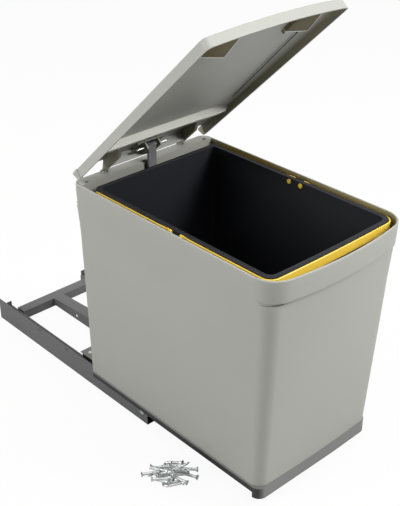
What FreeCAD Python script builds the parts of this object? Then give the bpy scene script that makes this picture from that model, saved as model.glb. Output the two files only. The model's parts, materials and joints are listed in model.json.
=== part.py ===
import FreeCAD, Part
import os
import math

V = FreeCAD.Vector
os.makedirs("parts", exist_ok=True)

# Fixed frame, screwed to the cabinet floor
frame_length = 421.0
frame_half = 103.7
wall_height = 41.2
sheet = 1.5
inner_lip_half = 78.0
inner_lip_height = 17.0
ledge_width = 4.0
fixing_x = 88.0
fixing_y = 160.0
fixing_hole_r = 2.25

# Rollers and how the carriage runs on them
roller_r = 12.0
roller_width = 6.0
axle_r = 3.0
running_gap = 0.3
pin_fit = 0.05
rail_foot_gap = 1.5
travel = 240.0
roller_room = 7.9
bearing_gap = 0.3

# Carriage and shell heights
tray_under = 43.0
tray_top = 46.0
lip_front = -467.8
lip_bottom = 24.5
lip_half = 116.0
lip_corner = 14.0
flange_bottom = 35.0
rail_front = -445.0
lip_arc = 4000.0
rear_plate_depth = 56.0
rear_plate_border = 16.0
plate_overlap = 4.2
rivet_edge = 14.0
window_half = 60.0

# Outer shell outline at the floor, under the collar and at the rim
shell_wall = 2.5
rim_wall = 3.2
shell_half_floor = 116.4
shell_half_neck = 124.2
shell_half_rim = 129.3
shell_front_floor = -468.2
shell_front_neck = -494.5
shell_front_rim = -503.0
shell_back_floor = -85.5
shell_back_neck = -91.0
shell_back_rim = -90.5
floor_front_r = 18.0
neck_front_r = 22.0
rim_front_r = 36.0
shell_back_r = 8.0
rim_back_r = 15.0
rim_z = 388.8
collar_height = 33.0
collar_draft = 1.5
front_arc = 600.0

# Rear ledge with the gap for the lifting rod
ledge_front = -112.0
ledge_sheet = 2.5
ledge_screw_x = 115.0
ledge_screw_y = -107.5
rod_gap_half = 11.0

# Bucket and its two handles
bucket_half = 117.3
bucket_front = -478.5
bucket_back = -126.5
bucket_rim = 387.0
bucket_wall = 2.0
bucket_taper = 10.0
bucket_front_r = 24.0
bucket_back_r = 20.0
rim_overhang = 5.0
rim_band = 12.0
rim_sheet = 2.5
floor_rib = 2.5
grip_width = 14.0
strap_gap = 0.4
strap_thick = 2.0
front_pivot_y = -317.0
rear_pivot_y = -295.0
pivot_z = 381.8
pivot_r = 2.0
boss_r = 4.6

# Lid, hinge and lifting rod
hinge_y = -97.0
hinge_z = 391.4
hinge_half = 74.0
lid_open = 43.2
lid_half = 123.6
lid_front = -487.4
lid_rear = -105.4
rear_wall = -111.4
lid_low = 389.4
lid_brow = 403.4
lid_top = 406.5
lid_crown = 12.0
lid_wall = 2.3
lid_arc = 660.0
lid_corner = 10.0
rib_crest = -162.0
rib_foot = -184.0
rib_depth = 7.0
arm_thick = 5.8
rod_width = 15.0
rod_thick = 4.0
rod_y = -117.0
cam_pin_z = 415.0
rod_head = 5.2
cam_pin_r = 2.0
cam_pin_half = 28.0
slot_fit = 0.15
foot_r = 7.0
foot_width = 6.0
guide_height = 12.0
foot_axle_r = 1.6
ramp_slope = 0.07
ramp_half = 11.0
ramp_low = 6.0
bar_low = 3.0
bar_top = 20.0
rear_bar_front = 172.0
rear_bar_back = 192.0
front_bar_front = -208.0
front_bar_back = -190.0

# Loose fixing screws beside the frame
screw_length = 30.0
screw_head_r = 4.0
screw_r = 1.9
screw_shank = 25.0
screw_tip_r = 0.4
screw_rows = 7
screw_columns = 3
screw_pile_x = -157.0
screw_pile_y = -335.0
screw_pile_turn = -42.0

frame_front = -frame_length / 2
frame_back = frame_length / 2
wall_inner = frame_half - sheet
shelf_inner = wall_inner - roller_width - 0.2
rear_axle_z = sheet + running_gap + roller_r
shelf_under = rear_axle_z + roller_r + running_gap
shelf_top = shelf_under + 2 * sheet
rear_axle_y = frame_back - sheet - bearing_gap - roller_r - travel
front_axle_y = frame_front + roller_r + 0.5
front_axle_z = shelf_top + 1.9 - running_gap - roller_r
flange_under = front_axle_z + roller_r + running_gap
roller_outer = wall_inner - bearing_gap
roller_inner = roller_outer - roller_width
web_outer = wall_inner - roller_room
rail_web_inner = web_outer - sheet
rear_plate_back = rear_axle_y + roller_r + 1.3
tray_back = rear_plate_back - rear_plate_depth
collar_z = rim_z - collar_height
bucket_floor = tray_top + shell_wall + floor_rib
lift = ramp_slope * travel


def box(x0, x1, y0, y1, z0, z1):
    return Part.makeBox(x1 - x0, y1 - y0, z1 - z0, V(x0, y0, z0))


def along_x(r, x0, x1, y, z):
    return Part.makeCylinder(r, x1 - x0, V(x0, y, z), V(1, 0, 0))


def along_z(r, x, y, z0, z1):
    return Part.makeCylinder(r, z1 - z0, V(x, y, z0), V(0, 0, 1))


def section_xz(points, y0, y1):
    wire = Part.makePolygon([V(x, y0, z) for x, z in points + points[:1]])
    return Part.Face(wire).extrude(V(0, y1 - y0, 0))


def section_yz(points, x0, x1):
    wire = Part.makePolygon([V(x0, y, z) for y, z in points + points[:1]])
    return Part.Face(wire).extrude(V(x1 - x0, 0, 0))


def section_xy(points, z0, z1):
    wire = Part.makePolygon([V(x, y, z0) for x, y in points + points[:1]])
    return Part.Face(wire).extrude(V(0, 0, z1 - z0))


def mirrored(shape):
    return shape.mirror(V(0, 0, 0), V(1, 0, 0))


def rounded_along_y(shape, radius, corners):
    edges = []
    for edge in shape.Edges:
        mid = edge.CenterOfMass
        span = edge.BoundBox
        if span.YLength < 5 or span.XLength > 0.01 or span.ZLength > 0.01:
            continue
        for x, z in corners:
            if abs(mid.x - x) < 0.05 and abs(mid.z - z) < 0.05:
                edges.append(edge)
    return shape.makeFillet(radius, edges)


def plan_wire(half, front, back, arc, front_r, back_r, z):
    # Outline seen from above: bowed front, rounded corners, straight sides
    middle = front + arc
    corner_y = middle - math.sqrt((arc - front_r) ** 2 - (half - front_r) ** 2)
    touch = arc / (arc - front_r)
    touch_x = (half - front_r) * touch
    touch_y = middle + (corner_y - middle) * touch
    lean = math.atan2(corner_y - touch_y, touch_x - half + front_r)
    swing = -lean / 2
    near_x = half - front_r + front_r * math.cos(swing)
    near_y = corner_y + front_r * math.sin(swing)
    bend = back_r * (1 - math.sqrt(0.5))
    p_left = V(-touch_x, touch_y, z)
    p_right = V(touch_x, touch_y, z)
    side_right = V(half, corner_y, z)
    side_left = V(-half, corner_y, z)
    back_right = V(half, back - back_r, z)
    back_left = V(-half, back - back_r, z)
    rear_right = V(half - back_r, back, z)
    rear_left = V(-half + back_r, back, z)
    edges = [
        Part.Arc(p_left, V(0, front, z), p_right).toShape(),
        Part.Arc(p_right, V(near_x, near_y, z), side_right).toShape(),
        Part.makeLine(side_right, back_right),
        Part.Arc(back_right, V(half - bend, back - bend, z), rear_right).toShape(),
        Part.makeLine(rear_right, rear_left),
        Part.Arc(rear_left, V(-half + bend, back - bend, z), back_left).toShape(),
        Part.makeLine(back_left, side_left),
        Part.Arc(side_left, V(-near_x, near_y, z), p_left).toShape(),
    ]
    return Part.Wire(edges)


def between(low, high):
    return Part.makeLoft([low, high], True, True)


def floor_wire(inset, z):
    return plan_wire(shell_half_floor - inset, shell_front_floor + inset,
                     shell_back_floor - inset, front_arc * 5 - inset,
                     floor_front_r - inset, shell_back_r - inset, z)


def neck_wire(inset, z):
    return plan_wire(shell_half_neck - inset, shell_front_neck + inset,
                     shell_back_neck - inset, front_arc * 1.2 - inset,
                     neck_front_r - inset, shell_back_r - inset, z)


def rim_wire(inset, z):
    return plan_wire(shell_half_rim - inset, shell_front_rim + inset,
                     shell_back_rim - inset, front_arc - inset,
                     rim_front_r - inset, rim_back_r - inset, z)


def bucket_wire(inset, z):
    return plan_wire(bucket_half - inset, bucket_front + inset, bucket_back - inset,
                     front_arc * 5 - inset, bucket_front_r - inset, bucket_back_r - inset, z)


def closed_to_open(shape):
    turned = shape.copy()
    turned.rotate(V(0, hinge_y, hinge_z), V(1, 0, 0), -lid_open)
    return turned


def save(name, shape):
    if len(shape.Solids) == 1:
        shape = shape.Solids[0]
    shape.exportStep("parts/" + name + ".step")
    print(name, len(shape.Solids), round(shape.Volume / 1000, 1), shape.isValid())


# Runner: one folded strip with outer wall, roller shelf, floor flange and inner lip
def make_runner():
    lip = inner_lip_half + sheet
    outline = [
        (frame_half, 0), (frame_half, wall_height), (wall_inner, wall_height),
        (wall_inner, shelf_top), (shelf_inner, shelf_top), (shelf_inner, shelf_under),
        (wall_inner, shelf_under), (wall_inner, sheet), (lip, sheet),
        (lip, inner_lip_height - sheet), (inner_lip_half + ledge_width, inner_lip_height - sheet),
        (inner_lip_half + ledge_width, inner_lip_height), (inner_lip_half, inner_lip_height),
        (inner_lip_half, 0),
    ]
    runner = section_xz(outline, frame_front, frame_back)
    runner = rounded_along_y(runner, 1.2, [(frame_half, 0), (inner_lip_half, 0),
                                           (inner_lip_half, inner_lip_height)])
    runner = runner.cut(box(shelf_inner - 1, wall_inner, frame_front - 1,
                            front_axle_y + roller_r + 3, shelf_under - 1, shelf_top + 1))
    stop = box(lip, wall_inner, frame_back - sheet, frame_back, sheet, shelf_under)
    runner = runner.fuse(stop).removeSplitter()
    for y in (-fixing_y, fixing_y):
        runner = runner.cut(along_z(fixing_hole_r, fixing_x, y, -1, sheet + 1))
    runner = runner.cut(along_x(axle_r + pin_fit, wall_inner - 1, frame_half + 1,
                                front_axle_y, front_axle_z))
    for y in (-fixing_y / 2, 0, fixing_y / 2):
        slot = box(wall_inner - 1, frame_half + 1, y - 4, y + 4, 34, 37)
        slot = slot.fuse(along_x(1.5, wall_inner - 1, frame_half + 1, y - 4, 35.5))
        slot = slot.fuse(along_x(1.5, wall_inner - 1, frame_half + 1, y + 4, 35.5))
        runner = runner.cut(slot)
    return runner


runner = make_runner()
save("right_runner", runner)
save("left_runner", mirrored(runner))


# Cross bars: downward-open channels butted between the inner lips
def make_cross_bar(y0, y1):
    bar = box(-inner_lip_half, inner_lip_half, y0, y1, bar_low, bar_top)
    inside = box(-inner_lip_half, inner_lip_half, y0 + sheet, y1 - sheet,
                 bar_low, bar_top - sheet)
    return bar.cut(inside)


save("rear_cross_bar", make_cross_bar(rear_bar_front, rear_bar_back))
save("front_cross_bar", make_cross_bar(front_bar_front, front_bar_back))


# Ramp that lifts the rod while the bin is pulled out
def ramp_height(y):
    return bar_top + ramp_slope * (rear_bar_front - y)


ramp_crest = rod_y - 10
ramp_side = [
    (rear_bar_front, ramp_low), (rear_bar_front, bar_top),
    (ramp_crest, ramp_height(ramp_crest)), (ramp_crest - 8, ramp_height(ramp_crest)),
    (front_bar_back, bar_top), (front_bar_back, ramp_low),
]
ramp = section_yz(ramp_side, -ramp_half, ramp_half)
ramp_hollow = section_yz(ramp_side, -ramp_half + sheet, ramp_half - sheet)
ramp_hollow.translate(V(0, 0, -sheet))
ramp = ramp.cut(ramp_hollow)
for y in (rear_bar_front - 70, rear_bar_front - 200):
    ramp = ramp.cut(along_x(3.0, -ramp_half - 1, ramp_half + 1, y, 14))
save("centre_ramp", ramp)


# Rollers and their riveted axles
def make_roller(x0, x1, y, z, r, bore):
    roller = along_x(r, x0, x1, y, z)
    groove = along_x(r * 0.8, x0, x0 + 0.8, y, z).cut(along_x(r * 0.5, x0, x0 + 0.8, y, z))
    roller = roller.cut(groove)
    return roller.cut(along_x(bore, x0 - 1, x1 + 1, y, z))


front_roller = make_roller(roller_inner, roller_outer, front_axle_y, front_axle_z,
                           roller_r, axle_r + pin_fit)
save("right_front_roller", front_roller)
save("left_front_roller", mirrored(front_roller))

front_axle = along_x(axle_r, roller_inner - bearing_gap, frame_half, front_axle_y, front_axle_z)
front_axle = front_axle.fuse(along_x(axle_r + 2, roller_inner - bearing_gap - 0.9,
                                     roller_inner - bearing_gap, front_axle_y, front_axle_z))
front_axle = front_axle.fuse(along_x(axle_r + 1.5, frame_half, frame_half + 0.8,
                                     front_axle_y, front_axle_z)).removeSplitter()
save("front_roller_axles", Part.Compound([front_axle, mirrored(front_axle)]))

rear_inner = web_outer + 0.6
rear_outer = roller_outer - 0.6
rear_roller = make_roller(rear_inner, rear_outer, rear_axle_y, rear_axle_z,
                          roller_r, axle_r + pin_fit)
save("right_rear_roller", rear_roller)
save("left_rear_roller", mirrored(rear_roller))

rear_axle = along_x(axle_r, rail_web_inner, rear_outer, rear_axle_y, rear_axle_z)
rear_axle = rear_axle.fuse(along_x(axle_r + 2, web_outer, rear_inner - bearing_gap,
                                   rear_axle_y, rear_axle_z))
rear_axle = rear_axle.fuse(along_x(axle_r + 1.5, rail_web_inner - 1.2, rail_web_inner,
                                   rear_axle_y, rear_axle_z)).removeSplitter()
save("rear_roller_axles", Part.Compound([rear_axle, mirrored(rear_axle)]))


# Carriage rail: upper running flange, joggled web and foot
rivet_places = (lip_front + 75, lip_front + 205, lip_front + 335)


def make_rail():
    set_back = 3.4
    foot_z = sheet + rail_foot_gap
    outline = [
        (rail_web_inner - 12, tray_under), (web_outer, tray_under),
        (web_outer, flange_under + sheet), (roller_outer - 0.4, flange_under + sheet),
        (roller_outer - 0.4, flange_under), (web_outer, flange_under),
        (web_outer, 10), (web_outer - set_back, 10),
        (web_outer - set_back, foot_z + sheet), (web_outer - 1.9, foot_z + sheet),
        (web_outer - 1.9, foot_z), (rail_web_inner - set_back, foot_z),
        (rail_web_inner - set_back, 10 + sheet), (rail_web_inner, 10 + sheet),
        (rail_web_inner, tray_under - sheet), (rail_web_inner - 12, tray_under - sheet),
    ]
    rail = section_xz(outline, rail_front, rear_plate_back - 1.6)
    # Behind the bin the rail is cut to clear the roller and to save height
    rail = rail.cut(box(rail_web_inner - set_back - 1, web_outer + 1,
                        rear_axle_y - 30, rear_plate_back, foot_z - 1, 10 + sheet))
    rail = rail.cut(along_x(axle_r + 0.02, rail_web_inner - 2, web_outer + 1,
                            rear_axle_y, rear_axle_z))
    for y in rivet_places:
        rail = rail.cut(along_z(2.1, rail_web_inner - 6, y, tray_under - 3, tray_under + 1))
    rail = rail.cut(along_z(2.1, rail_web_inner - 6, rear_plate_back - rivet_edge,
                            tray_under - 3, tray_under + 1))
    return rail


rail = make_rail()
save("right_carriage_rail", rail)
save("left_carriage_rail", mirrored(rail))


# Tray that carries the shell, with side flanges and a front lip turned down over the frame
def make_tray():
    skirt = 2.0
    outer = plan_wire(lip_half, lip_front, tray_back, lip_arc, lip_corner, 4.0, lip_bottom)
    inner = plan_wire(lip_half - skirt, lip_front + skirt, tray_back + 20,
                      lip_arc - skirt, lip_corner - skirt, 2.0, lip_bottom)
    tray = Part.Face(outer).extrude(V(0, 0, tray_top - lip_bottom))
    tray = tray.cut(Part.Face(inner).extrude(V(0, 0, tray_under - lip_bottom)))
    tray = tray.cut(box(-lip_half - 1, lip_half + 1, lip_front + lip_corner + 1,
                        tray_back + 1, lip_bottom - 1, flange_bottom))
    # Windows leave a frame with cross members under the shell
    for y0 in (lip_front + 55, lip_front + 180):
        window = box(-window_half - 2, window_half + 2, y0, y0 + 100, tray_under - 1, tray_top + 1)
        tray = tray.cut(window)
    tray = tray.cut(box(-12, 12, rod_y - 12, tray_back + 1, tray_under - 1, tray_top + 1))
    for x in (-rail_web_inner + 6, rail_web_inner - 6):
        for y in rivet_places:
            tray = tray.cut(along_z(2.1, x, y, tray_under - 1, tray_top + 1))
    return tray


tray = make_tray()
save("carriage_tray", tray)

plate_half = rail_web_inner + plate_overlap
rear_plate = box(-plate_half, plate_half, tray_back, rear_plate_back, tray_under, tray_under + sheet)
rear_plate = rear_plate.cut(box(-window_half, window_half, tray_back + rear_plate_border,
                                rear_plate_back - rear_plate_border, tray_under - 1, tray_top))
for x in (-rail_web_inner + 6, rail_web_inner - 6):
    rear_plate = rear_plate.cut(along_z(2.1, x, rear_plate_back - rivet_edge, tray_under - 1, tray_top))
save("carriage_rear_plate", rear_plate)

# Rivets joining rails, tray and rear plate
rivets = []
for x in (-rail_web_inner + 6, rail_web_inner - 6):
    for y in rivet_places:
        rivet = along_z(2.0, x, y, tray_under - sheet, tray_top - 0.05)
        rivet = rivet.fuse(along_z(3.6, x, y, tray_under - sheet - 1.0, tray_under - sheet))
        rivets.append(rivet.removeSplitter())
    y = rear_plate_back - rivet_edge
    rivet = along_z(2.0, x, y, tray_under - sheet, tray_under + sheet)
    rivet = rivet.fuse(along_z(3.6, x, y, tray_under - sheet - 1.0, tray_under - sheet))
    rivet = rivet.fuse(along_z(3.6, x, y, tray_under + sheet, tray_under + sheet + 0.9))
    rivets.append(rivet.removeSplitter())
save("carriage_rivets", Part.Compound(rivets))


# Outer shell: tapered box with a collar, floor with ribs and a rod opening
def make_shell():
    body = between(floor_wire(0, tray_top), neck_wire(0, collar_z))
    collar = between(rim_wire(collar_draft, collar_z), rim_wire(0, rim_z))
    inside = between(floor_wire(shell_wall, tray_top), neck_wire(shell_wall, collar_z))
    inside = inside.cut(box(-200, 200, -600, 0, tray_top - 1, tray_top + shell_wall))
    step = Part.Face(neck_wire(shell_wall, collar_z)).extrude(V(0, 0, collar_height))
    throat = Part.Face(rim_wire(rim_wall, collar_z + shell_wall))
    throat = throat.extrude(V(0, 0, collar_height))
    shell = body.fuse(collar)
    shell = shell.cut(inside)
    shell = shell.cut(step)
    shell = shell.cut(throat)
    for y in (-400, -340, -280, -220, -160):
        rib = box(-90, 90, y - 1, y + 1, tray_top + shell_wall, bucket_floor)
        shell = shell.fuse(rib)
    opening = box(-10, 10, rod_y - 10, rod_y + 9, tray_top - 1, bucket_floor)
    return shell.cut(opening).removeSplitter()


shell = make_shell()
save("outer_shell", shell)


# Rear ledge: top strip with a turned-down face that hides the rod channel
def make_ledge():
    inset = rim_wall + 0.15
    side = shell_half_rim - inset
    plan = rim_wire(inset, rim_z - ledge_sheet)
    block = Part.Face(plan).extrude(V(0, 0, ledge_sheet))
    ledge = block.cut(box(-200, 200, -600, ledge_front, 0, 600))
    face = box(-side, side, ledge_front, ledge_front + 2, collar_z + 3, rim_z)
    ledge = ledge.fuse(face)
    gap = box(-rod_gap_half, rod_gap_half, ledge_front - 1, ledge_front + 9, 0, 600)
    ledge = ledge.cut(gap)
    for x in (-ledge_screw_x, ledge_screw_x):
        ledge = ledge.cut(along_z(1.6, x, ledge_screw_y, rim_z - 10, rim_z + 1))
    for x in (-hinge_half, hinge_half):
        for side_x in (x - 6.5, x + 3.5):
            post = box(side_x, side_x + 3, hinge_y - 3.5, hinge_y + 1.4, rim_z - 1, hinge_z)
            post = post.fuse(along_x(2.9, side_x, side_x + 3, hinge_y - 1.0, hinge_z))
            ledge = ledge.fuse(post)
        ledge = ledge.cut(along_x(1.5 + 0.02, x - 8, x + 8, hinge_y, hinge_z))
    return ledge.removeSplitter()


ledge = make_ledge()
save("rear_ledge", ledge)

screws = []
for x in (-ledge_screw_x, ledge_screw_x):
    screw = along_z(1.55, x, ledge_screw_y, rim_z - 8, rim_z)
    screw = screw.fuse(along_z(2.8, x, ledge_screw_y, rim_z, rim_z + 0.9)).removeSplitter()
    screws.append(screw)
save("ledge_screws", Part.Compound(screws))

hinge_pins = []
for x in (-hinge_half, hinge_half):
    hinge_pins.append(along_x(1.5, x - 6.5, x + 6.5, hinge_y, hinge_z))
save("hinge_pins", Part.Compound(hinge_pins))

# Guides that hold the rod against the ledge face
guides = []
for z in (90.0, 210.0, 362.0):
    guide = box(-rod_width / 2 - 3, rod_width / 2 + 3, rod_y - rod_thick / 2 - 2.2,
                rod_y + rod_thick / 2 + 1.0, z, z + guide_height)
    guide = guide.cut(box(-rod_width / 2 - 0.1, rod_width / 2 + 0.1, rod_y - rod_thick / 2 - 0.1,
                          rod_y + rod_thick / 2 + 0.1, z - 1, z + guide_height + 1))
    rise = (z + guide_height - tray_top) / (collar_z - tray_top)
    back_y = shell_back_floor + (shell_back_neck - shell_back_floor) * rise - shell_wall - 0.05
    if z > collar_z:
        back_y = shell_back_rim - rim_wall - 0.05
    guide = guide.fuse(box(-3, 3, rod_y + rod_thick / 2 + 0.1, back_y, z, z + guide_height))
    guides.append(guide.removeSplitter())
save("rod_guides", Part.Compound(guides))


# Lid, modelled closed and then turned open about the hinge
def lid_wire(inset, z):
    corner = max(lid_corner - inset * 0.5, 2.0)
    return plan_wire(lid_half - inset, lid_front + inset, lid_rear - inset * 0.4,
                     lid_arc - inset, corner, 4.0, z)


def stacked(levels):
    solid = None
    for low, high in zip(levels, levels[1:]):
        layer = between(lid_wire(*low), lid_wire(*high))
        solid = layer if solid is None else solid.fuse(layer)
    return solid


def make_hollow():
    # The skirt turns into the flat underside with a soft rounding
    under = lid_top - lid_wall
    return stacked([(lid_wall, lid_low - 0.01), (lid_wall + 0.7, lid_low + 7.0),
                    (lid_wall + 3.0, under - 4.5), (lid_wall + 9.0, under - 1.2),
                    (lid_wall + 20.0, under)])


def make_lid():
    under = lid_top - lid_wall
    lid = stacked([(0, lid_low), (1.0, lid_brow), (lid_crown, lid_top)])
    lid = lid.cut(make_hollow())
    # The rear edge is open between the corners, with a wall set in between the hinge arms
    lid = lid.cut(box(5.0 - lid_half, lid_half - 5.0, rear_wall - lid_wall, lid_rear + 1,
                      lid_low - 1, under))
    lid = lid.fuse(box(-hinge_half, hinge_half, rear_wall - lid_wall, rear_wall,
                       lid_low, under + 0.5))
    # Cross rib with a sloping front
    rib = section_yz([(rib_crest + lid_wall, under + 0.5), (rib_crest + lid_wall, under - rib_depth),
                      (rib_crest, under - rib_depth), (rib_foot, under + 0.5)],
                     -lid_half + lid_wall - 0.5, lid_half - lid_wall + 0.5)
    rib = rib.common(stacked([(0.5, lid_low), (1.5, lid_brow), (lid_crown + 0.5, lid_top)]))
    lid = lid.fuse(rib)
    # Corner pads in the front
    for side in (-1, 1):
        lid = lid.fuse(pad(side, 0.0, under - 5.0, under + 0.5).cut(pad(side, 2.5, under - 3.5, under)))
    # Hinge arms: tall gussets that end in an eye round the pin
    for x in (-hinge_half, hinge_half):
        half = arm_thick / 2
        web = section_yz([(rib_crest + 2.0, under + 0.5), (rib_crest + 2.0, under - rib_depth),
                          (rib_crest + 18.0, lid_low), (hinge_y - 3.0, lid_low),
                          (hinge_y, hinge_z - 1.5), (hinge_y + 1.6, hinge_z + 1.4),
                          (rear_wall + 2.0, under - 2.0), (rear_wall + 2.0, under + 0.5)],
                         x - half, x + half)
        lid = lid.fuse(web)
        lid = lid.fuse(along_x(2.3, x - half, x + half, hinge_y, hinge_z))
        lid = lid.cut(along_x(1.5 + pin_fit, x - 8, x + 8, hinge_y, hinge_z))
    return lid.removeSplitter()


def pad(side, inset, z0, z1):
    near = side * (50 + inset)
    far = side * (100 - inset)
    front = lid_front + 18 + inset
    back = lid_front + 66 - inset
    return box(min(near, far), max(near, far), front, back, z0, z1)


lid = make_lid()
save("lid", closed_to_open(lid))


# Lifter bracket under the lid: its slot follows the pin path exactly
def cam_point(share):
    angle = math.radians(lid_open) * share
    reach = hinge_y - rod_y
    height = cam_pin_z - hinge_z - lift * (1 - share)
    u = reach * math.cos(angle) + height * math.sin(angle)
    w = -reach * math.sin(angle) + height * math.cos(angle)
    return u, w


def make_bracket():
    under = lid_top - lid_wall
    path = [cam_point(i / 12) for i in range(13)]
    y_points = [hinge_y - u for u, w in path]
    z_points = [hinge_z + w for u, w in path]
    front = min(y_points) - 7
    back = rear_wall - lid_wall
    low = min(z_points) - 4.6
    fin = 3.2
    bracket = box(-14, 14, front, back, under - 2, under)
    bracket = bracket.cut(box(-9, 9, front + 2.5, back + 1, under - 3, under + 1))
    for x in (-14.0, 11.0):
        bracket = bracket.fuse(box(x, x + 3, front, back, low, under))
    for x in (-26.0, -21.0, 19.0, 24.0):
        bracket = bracket.fuse(box(x, x + 2, front + 2, back, under - fin, under))
    bracket = bracket.fuse(box(-26, 26, front, front + 2.5, under - fin, under))
    reach = cam_pin_r + slot_fit
    slot = along_x(reach, -15, 15, y_points[0], z_points[0])
    for i in range(12):
        dy = y_points[i + 1] - y_points[i]
        dz = z_points[i + 1] - z_points[i]
        size = math.hypot(dy, dz)
        ny = -dz / size * reach
        nz = dy / size * reach
        piece = section_yz([(y_points[i] + ny, z_points[i] + nz),
                            (y_points[i + 1] + ny, z_points[i + 1] + nz),
                            (y_points[i + 1] - ny, z_points[i + 1] - nz),
                            (y_points[i] - ny, z_points[i] - nz)], -15, 15)
        slot = slot.fuse(piece)
        slot = slot.fuse(along_x(reach, -15, 15, y_points[i + 1], z_points[i + 1]))
    return bracket.cut(slot).common(make_hollow()).removeSplitter()


bracket = make_bracket()
save("lifter_bracket", closed_to_open(bracket))

# Rod with its fork, cross pin, foot wheel and axle
foot_z = ramp_height(rod_y) + (foot_r + running_gap) * math.hypot(1, ramp_slope)
rod = box(-rod_width / 2, rod_width / 2, rod_y - rod_thick / 2, rod_y + rod_thick / 2,
          foot_z - 3.4, cam_pin_z + rod_head)
rod = rod.cut(box(-foot_width / 2 - 0.3, foot_width / 2 + 0.3, rod_y - 5, rod_y + 5,
                  foot_z - 5, foot_z + foot_r + 1))
rod = rod.cut(along_x(foot_axle_r + 0.02, -20, 20, rod_y, foot_z))
rod = rod.cut(along_x(cam_pin_r - 0.5 + 0.02, -20, 20, rod_y, cam_pin_z))
save("lift_rod", rod)

cross_pin = along_x(cam_pin_r - 0.5, -rod_width / 2, rod_width / 2, rod_y, cam_pin_z)
cross_pin = cross_pin.fuse(along_x(cam_pin_r, -cam_pin_half, -rod_width / 2, rod_y, cam_pin_z))
cross_pin = cross_pin.fuse(along_x(cam_pin_r, rod_width / 2, cam_pin_half, rod_y, cam_pin_z))
save("rod_cross_pin", cross_pin.removeSplitter())

save("foot_wheel", make_roller(-foot_width / 2, foot_width / 2, rod_y, foot_z,
                               foot_r, foot_axle_r + pin_fit))
save("foot_axle", along_x(foot_axle_r, -rod_width / 2, rod_width / 2, rod_y, foot_z))


# Bucket: tapered tub with a flat rim turned out and down
def make_bucket():
    band_z = bucket_rim - rim_band
    inner_rim = rim_overhang + bucket_wall
    tub = between(bucket_wire(rim_overhang + bucket_taper, bucket_floor),
                  bucket_wire(rim_overhang, bucket_rim))
    tub = tub.fuse(Part.Face(bucket_wire(0, band_z)).extrude(V(0, 0, rim_band)))
    under_rim = Part.Face(bucket_wire(bucket_wall, band_z)).extrude(V(0, 0, rim_band - rim_sheet))
    share = (bucket_rim - band_z) / (bucket_rim - bucket_floor)
    core = between(bucket_wire(rim_overhang + bucket_taper * share, band_z),
                   bucket_wire(rim_overhang, bucket_rim))
    tub = tub.cut(under_rim.cut(core))
    low = bucket_floor + bucket_wall
    slope = bucket_taper * (bucket_rim - low) / (bucket_rim - bucket_floor)
    tub = tub.cut(between(bucket_wire(inner_rim + slope, low), bucket_wire(inner_rim, bucket_rim)))
    for y in (front_pivot_y, rear_pivot_y):
        tub = tub.cut(along_x(pivot_r + 0.02, -200, 200, y, pivot_z))
    return tub.removeSplitter()


bucket = make_bucket()
save("bucket", bucket)


# Handles: flat straps that lie round the rim, each cut from one upright band
def make_handle(side_points, pivot_y):
    low = 355.0
    outer = bucket_wire(-strap_gap - strap_thick, low)
    inner = bucket_wire(-strap_gap, low)
    band = Part.Face(outer).extrude(V(0, 0, 40)).cut(Part.Face(inner).extrude(V(0, 0, 40)))
    keep = section_yz(side_points, -200, 200)
    keep = keep.fuse(along_x(boss_r, -200, 200, pivot_y, pivot_z))
    handle = band.common(keep)
    handle = handle.cut(along_x(pivot_r + pin_fit + 0.03, -200, 200, pivot_y, pivot_z))
    return handle.removeSplitter()


arm_top = pivot_z + boss_r
arm_low = pivot_z - boss_r
grip_z = bucket_rim - 10.0
strap_end = bucket_front - strap_gap - strap_thick - 2
strap_rear = bucket_back + strap_gap + strap_thick + 2
front_side = [
    (front_pivot_y, arm_top), (strap_end, arm_top), (strap_end, arm_low), (front_pivot_y, arm_low),
]
rear_side = [
    (rear_pivot_y, arm_top), (bucket_back - 35.5, arm_top - 2), (bucket_back - 17.5, grip_z),
    (strap_rear, grip_z),
    (strap_rear, grip_z - grip_width), (bucket_back - 17.5, grip_z - grip_width),
    (bucket_back - 35.5, arm_low - 3), (rear_pivot_y, arm_low),
]
save("front_handle", make_handle(front_side, front_pivot_y))
save("rear_handle", make_handle(rear_side, rear_pivot_y))

pins = []
for y in (front_pivot_y, rear_pivot_y):
    wall = bucket_half - rim_overhang - bucket_wall - 0.3
    head = bucket_half + strap_gap + strap_thick + 0.2
    pin = along_x(pivot_r, wall, head + 1.0, y, pivot_z)
    pin = pin.fuse(along_x(pivot_r + 1.5, wall - 1.4, wall, y, pivot_z))
    pin = pin.fuse(along_x(pivot_r + 1.5, head, head + 1.0, y, pivot_z))
    pin = pin.removeSplitter()
    pins.append(pin)
    pins.append(mirrored(pin))
save("handle_pins", Part.Compound(pins))


# Loose countersunk screws, each lying on its head and shank, in rows beside the frame
def screw_ring(r, z):
    turns = [i * math.pi / 4 for i in range(9)]
    return Part.makePolygon([V(r * math.cos(a), r * math.sin(a), z) for a in turns])


def make_screw():
    rings = [screw_ring(screw_head_r, 0), screw_ring(screw_r, screw_head_r - screw_r),
             screw_ring(screw_r, screw_shank), screw_ring(screw_tip_r, screw_length)]
    screw = between(rings[0], rings[1])
    screw = screw.fuse(between(rings[1], rings[2]))
    return screw.fuse(between(rings[2], rings[3])).removeSplitter()


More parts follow.
